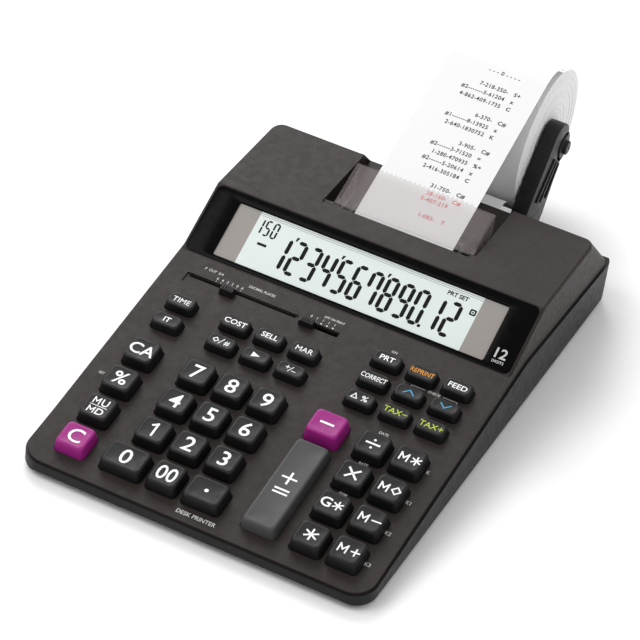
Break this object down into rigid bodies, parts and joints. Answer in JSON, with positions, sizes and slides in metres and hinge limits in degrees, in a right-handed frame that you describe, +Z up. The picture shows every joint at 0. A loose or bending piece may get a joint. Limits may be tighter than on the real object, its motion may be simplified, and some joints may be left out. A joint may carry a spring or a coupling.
{
  "type": "printing desk calculator",
  "caption": "Printing desk calculator: sloped key deck, tilted number display, clear printer cover, printed paper strip and a paper roll on a rear holder.",
  "frame": {"origin": "on the table under the middle of the whole outline, roll and holder included", "axes": "+X to the user's right, +Y to the back, +Z up"},
  "size_m": [0.195, 0.392, 0.1047],
  "materials": {
    "upper_shell": "fine grained satin",
    "lower_shell": "fine grained satin",
    "key_black": "satin",
    "key_magenta": "satin",
    "key_grey": "satin",
    "switch_black": "satin",
    "display_lens": "gloss",
    "lcd_glass": "polished",
    "board": "solder mask",
    "silicone": "matt",
    "rubber": "matt",
    "steel": "zinc plated",
    "paper": "uncoated paper",
    "mechanism": "moulded",
    "clear_cover": "clear smoke",
    "holder": "satin"
  },
  "bodies": {
    "root": {"upper_case": "upper_shell", "lower_case": "lower_shell", "display_window": "display_lens", "lcd_panel": "lcd_glass", "circuit_board": "board", "key_mat": "silicone", "rubber_feet": "rubber", "case_screws": "steel", "paper_strip": "paper", "printer_mechanism": "mechanism", "roll_holder": "holder"},
    "rounding_switch": {"rounding_switch": "switch_black"},
    "mode_switch": {"mode_switch": "switch_black"},
    "printer_cover": {"printer_cover": "clear_cover"},
    "battery_cover": {"battery_cover": "lower_shell"},
    "paper_roll": {"paper_roll": "paper"},
    "platen_roller": {"platen_roller": "rubber"},
    "key_1": {"key_1": "key_black"},
    "key_2": {"key_2": "key_black"},
    "key_3": {"key_3": "key_black"},
    "key_4": {"key_4": "key_black"},
    "key_5": {"key_5": "key_black"},
    "key_6": {"key_6": "key_black"},
    "key_7": {"key_7": "key_black"},
    "key_8": {"key_8": "key_black"},
    "key_9": {"key_9": "key_black"},
    "key_0": {"key_0": "key_black"},
    "key_00": {"key_00": "key_black"},
    "key_point": {"key_point": "key_black"},
    "key_clear": {"key_clear": "key_magenta"},
    "key_mark_up": {"key_mark_up": "key_black"},
    "key_percent": {"key_percent": "key_black"},
    "key_clear_all": {"key_clear_all": "key_black"},
    "key_minus": {"key_minus": "key_magenta"},
    "key_plus_equals": {"key_plus_equals": "key_grey"},
    "key_total": {"key_total": "key_black"},
    "key_grand_total": {"key_grand_total": "key_black"},
    "key_multiply": {"key_multiply": "key_black"},
    "key_divide": {"key_divide": "key_black"},
    "key_memory_plus": {"key_memory_plus": "key_black"},
    "key_memory_minus": {"key_memory_minus": "key_black"},
    "key_memory_subtotal": {"key_memory_subtotal": "key_black"},
    "key_memory_total": {"key_memory_total": "key_black"},
    "key_item_count": {"key_item_count": "key_black"},
    "key_time": {"key_time": "key_black"},
    "key_non_add": {"key_non_add": "key_black"},
    "key_backspace": {"key_backspace": "key_black"},
    "key_sign": {"key_sign": "key_black"},
    "key_cost": {"key_cost": "key_black"},
    "key_sell": {"key_sell": "key_black"},
    "key_margin": {"key_margin": "key_black"},
    "key_change_percent": {"key_change_percent": "key_black"},
    "key_tax_minus": {"key_tax_minus": "key_black"},
    "key_tax_plus": {"key_tax_plus": "key_black"},
    "key_correct": {"key_correct": "key_black"},
    "key_check_up": {"key_check_up": "key_black"},
    "key_check_down": {"key_check_down": "key_black"},
    "key_print": {"key_print": "key_black"},
    "key_reprint": {"key_reprint": "key_black"},
    "key_feed": {"key_feed": "key_black"}
  },
  "joints": [
    {"name": "rounding_switch_slide", "type": "slide", "parent": "root", "child": "rounding_switch", "axis": [1, 0, 0], "range_m": [-0.0198, 0.035]},
    {"name": "mode_switch_slide", "type": "slide", "parent": "root", "child": "mode_switch", "axis": [1, 0, 0], "range_m": [-0.0008, 0.014]},
    {"name": "printer_cover_hinge", "type": "hinge", "parent": "root", "child": "printer_cover", "pos_m": [0.0052, 0.0249, 0.0576], "axis": [1, 0, 0], "range_deg": [0, 70]},
    {"name": "battery_cover_slide", "type": "slide", "parent": "root", "child": "battery_cover", "axis": [0, 1, 0], "range_m": [0, 0.0078]},
    {"name": "paper_roll_spin", "type": "hinge", "parent": "root", "child": "paper_roll", "pos_m": [0.0052, 0.154, 0.055], "axis": [1, 0, 0], "continuous": true},
    {"name": "platen_spin", "type": "hinge", "parent": "root", "child": "platen_roller", "pos_m": [0.0052, 0.02903, 0.05166], "axis": [1, 0, 0], "continuous": true},
    {"name": "key_1_press", "type": "slide", "parent": "root", "child": "key_1", "axis": [0, 0.1656, -0.9862], "range_m": [0, 0.0025], "stiffness_N_per_m": 280, "springref_m": -0.001},
    {"name": "key_2_press", "type": "slide", "parent": "root", "child": "key_2", "axis": [0, 0.1656, -0.9862], "range_m": [0, 0.0025], "stiffness_N_per_m": 280, "springref_m": -0.001},
    {"name": "key_3_press", "type": "slide", "parent": "root", "child": "key_3", "axis": [0, 0.1656, -0.9862], "range_m": [0, 0.0025], "stiffness_N_per_m": 280, "springref_m": -0.001},
    {"name": "key_4_press", "type": "slide", "parent": "root", "child": "key_4", "axis": [0, 0.1656, -0.9862], "range_m": [0, 0.0025], "stiffness_N_per_m": 280, "springref_m": -0.001},
    {"name": "key_5_press", "type": "slide", "parent": "root", "child": "key_5", "axis": [0, 0.1656, -0.9862], "range_m": [0, 0.0025], "stiffness_N_per_m": 280, "springref_m": -0.001},
    {"name": "key_6_press", "type": "slide", "parent": "root", "child": "key_6", "axis": [0, 0.1656, -0.9862], "range_m": [0, 0.0025], "stiffness_N_per_m": 280, "springref_m": -0.001},
    {"name": "key_7_press", "type": "slide", "parent": "root", "child": "key_7", "axis": [0, 0.1656, -0.9862], "range_m": [0, 0.0025], "stiffness_N_per_m": 280, "springref_m": -0.001},
    {"name": "key_8_press", "type": "slide", "parent": "root", "child": "key_8", "axis": [0, 0.1656, -0.9862], "range_m": [0, 0.0025], "stiffness_N_per_m": 280, "springref_m": -0.001},
    {"name": "key_9_press", "type": "slide", "parent": "root", "child": "key_9", "axis": [0, 0.1656, -0.9862], "range_m": [0, 0.0025], "stiffness_N_per_m": 280, "springref_m": -0.001},
    {"name": "key_0_press", "type": "slide", "parent": "root", "child": "key_0", "axis": [0, 0.1656, -0.9862], "range_m": [0, 0.0025], "stiffness_N_per_m": 280, "springref_m": -0.001},
    {"name": "key_00_press", "type": "slide", "parent": "root", "child": "key_00", "axis": [0, 0.1656, -0.9862], "range_m": [0, 0.0025], "stiffness_N_per_m": 280, "springref_m": -0.001},
    {"name": "key_point_press", "type": "slide", "parent": "root", "child": "key_point", "axis": [0, 0.1656, -0.9862], "range_m": [0, 0.0025], "stiffness_N_per_m": 280, "springref_m": -0.001},
    {"name": "key_clear_press", "type": "slide", "parent": "root", "child": "key_clear", "axis": [0, 0.1656, -0.9862], "range_m": [0, 0.0025], "stiffness_N_per_m": 280, "springref_m": -0.001},
    {"name": "key_mark_up_press", "type": "slide", "parent": "root", "child": "key_mark_up", "axis": [0, 0.1656, -0.9862], "range_m": [0, 0.0025], "stiffness_N_per_m": 280, "springref_m": -0.001},
    {"name": "key_percent_press", "type": "slide", "parent": "root", "child": "key_percent", "axis": [0, 0.1656, -0.9862], "range_m": [0, 0.0025], "stiffness_N_per_m": 280, "springref_m": -0.001},
    {"name": "key_clear_all_press", "type": "slide", "parent": "root", "child": "key_clear_all", "axis": [0, 0.1656, -0.9862], "range_m": [0, 0.0025], "stiffness_N_per_m": 280, "springref_m": -0.001},
    {"name": "key_minus_press", "type": "slide", "parent": "root", "child": "key_minus", "axis": [0, 0.1656, -0.9862], "range_m": [0, 0.0025], "stiffness_N_per_m": 280, "springref_m": -0.001},
    {"name": "key_plus_equals_press", "type": "slide", "parent": "root", "child": "key_plus_equals", "axis": [0, 0.1656, -0.9862], "range_m": [0, 0.0025], "stiffness_N_per_m": 420, "springref_m": -0.001},
    {"name": "key_total_press", "type": "slide", "parent": "root", "child": "key_total", "axis": [0, 0.1656, -0.9862], "range_m": [0, 0.0025], "stiffness_N_per_m": 280, "springref_m": -0.001},
    {"name": "key_grand_total_press", "type": "slide", "parent": "root", "child": "key_grand_total", "axis": [0, 0.1656, -0.9862], "range_m": [0, 0.0025], "stiffness_N_per_m": 280, "springref_m": -0.001},
    {"name": "key_multiply_press", "type": "slide", "parent": "root", "child": "key_multiply", "axis": [0, 0.1656, -0.9862], "range_m": [0, 0.0025], "stiffness_N_per_m": 280, "springref_m": -0.001},
    {"name": "key_divide_press", "type": "slide", "parent": "root", "child": "key_divide", "axis": [0, 0.1656, -0.9862], "range_m": [0, 0.0025], "stiffness_N_per_m": 280, "springref_m": -0.001},
    {"name": "key_memory_plus_press", "type": "slide", "parent": "root", "child": "key_memory_plus", "axis": [0, 0.1656, -0.9862], "range_m": [0, 0.0025], "stiffness_N_per_m": 280, "springref_m": -0.001},
    {"name": "key_memory_minus_press", "type": "slide", "parent": "root", "child": "key_memory_minus", "axis": [0, 0.1656, -0.9862], "range_m": [0, 0.0025], "stiffness_N_per_m": 280, "springref_m": -0.001},
    {"name": "key_memory_subtotal_press", "type": "slide", "parent": "root", "child": "key_memory_subtotal", "axis": [0, 0.1656, -0.9862], "range_m": [0, 0.0025], "stiffness_N_per_m": 280, "springref_m": -0.001},
    {"name": "key_memory_total_press", "type": "slide", "parent": "root", "child": "key_memory_total", "axis": [0, 0.1656, -0.9862], "range_m": [0, 0.0025], "stiffness_N_per_m": 280, "springref_m": -0.001},
    {"name": "key_item_count_press", "type": "slide", "parent": "root", "child": "key_item_count", "axis": [0, 0.1656, -0.9862], "range_m": [0, 0.0025], "stiffness_N_per_m": 280, "springref_m": -0.001},
    {"name": "key_time_press", "type": "slide", "parent": "root", "child": "key_time", "axis": [0, 0.1656, -0.9862], "range_m": [0, 0.0025], "stiffness_N_per_m": 280, "springref_m": -0.001},
    {"name": "key_non_add_press", "type": "slide", "parent": "root", "child": "key_non_add", "axis": [0, 0.1656, -0.9862], "range_m": [0, 0.0025], "stiffness_N_per_m": 280, "springref_m": -0.001},
    {"name": "key_backspace_press", "type": "slide", "parent": "root", "child": "key_backspace", "axis": [0, 0.1656, -0.9862], "range_m": [0, 0.0025], "stiffness_N_per_m": 280, "springref_m": -0.001},
    {"name": "key_sign_press", "type": "slide", "parent": "root", "child": "key_sign", "axis": [0, 0.1656, -0.9862], "range_m": [0, 0.0025], "stiffness_N_per_m": 280, "springref_m": -0.001},
    {"name": "key_cost_press", "type": "slide", "parent": "root", "child": "key_cost", "axis": [0, 0.1656, -0.9862], "range_m": [0, 0.0025], "stiffness_N_per_m": 280, "springref_m": -0.001},
    {"name": "key_sell_press", "type": "slide", "parent": "root", "child": "key_sell", "axis": [0, 0.1656, -0.9862], "range_m": [0, 0.0025], "stiffness_N_per_m": 280, "springref_m": -0.001},
    {"name": "key_margin_press", "type": "slide", "parent": "root", "child": "key_margin", "axis": [0, 0.1656, -0.9862], "range_m": [0, 0.0025], "stiffness_N_per_m": 280, "springref_m": -0.001},
    {"name": "key_change_percent_press", "type": "slide", "parent": "root", "child": "key_change_percent", "axis": [0, 0.1656, -0.9862], "range_m": [0, 0.0025], "stiffness_N_per_m": 280, "springref_m": -0.001},
    {"name": "key_tax_minus_press", "type": "slide", "parent": "root", "child": "key_tax_minus", "axis": [0, 0.1656, -0.9862], "range_m": [0, 0.0025], "stiffness_N_per_m": 280, "springref_m": -0.001},
    {"name": "key_tax_plus_press", "type": "slide", "parent": "root", "child": "key_tax_plus", "axis": [0, 0.1656, -0.9862], "range_m": [0, 0.0025], "stiffness_N_per_m": 280, "springref_m": -0.001},
    {"name": "key_correct_press", "type": "slide", "parent": "root", "child": "key_correct", "axis": [0, 0.1656, -0.9862], "range_m": [0, 0.0025], "stiffness_N_per_m": 280, "springref_m": -0.001},
    {"name": "key_check_up_press", "type": "slide", "parent": "root", "child": "key_check_up", "axis": [0, 0.1656, -0.9862], "range_m": [0, 0.0025], "stiffness_N_per_m": 280, "springref_m": -0.001},
    {"name": "key_check_down_press", "type": "slide", "parent": "root", "child": "key_check_down", "axis": [0, 0.1656, -0.9862], "range_m": [0, 0.0025], "stiffness_N_per_m": 280, "springref_m": -0.001},
    {"name": "key_print_press", "type": "slide", "parent": "root", "child": "key_print", "axis": [0, 0.1656, -0.9862], "range_m": [0, 0.0025], "stiffness_N_per_m": 280, "springref_m": -0.001},
    {"name": "key_reprint_press", "type": "slide", "parent": "root", "child": "key_reprint", "axis": [0, 0.1656, -0.9862], "range_m": [0, 0.0025], "stiffness_N_per_m": 280, "springref_m": -0.001},
    {"name": "key_feed_press", "type": "slide", "parent": "root", "child": "key_feed", "axis": [0, 0.1656, -0.9862], "range_m": [0, 0.0025], "stiffness_N_per_m": 280, "springref_m": -0.001}
  ],
  "couplings": [
    {"joint": "platen_spin", "follows": "paper_roll_spin", "ratio": 7}
  ]
}
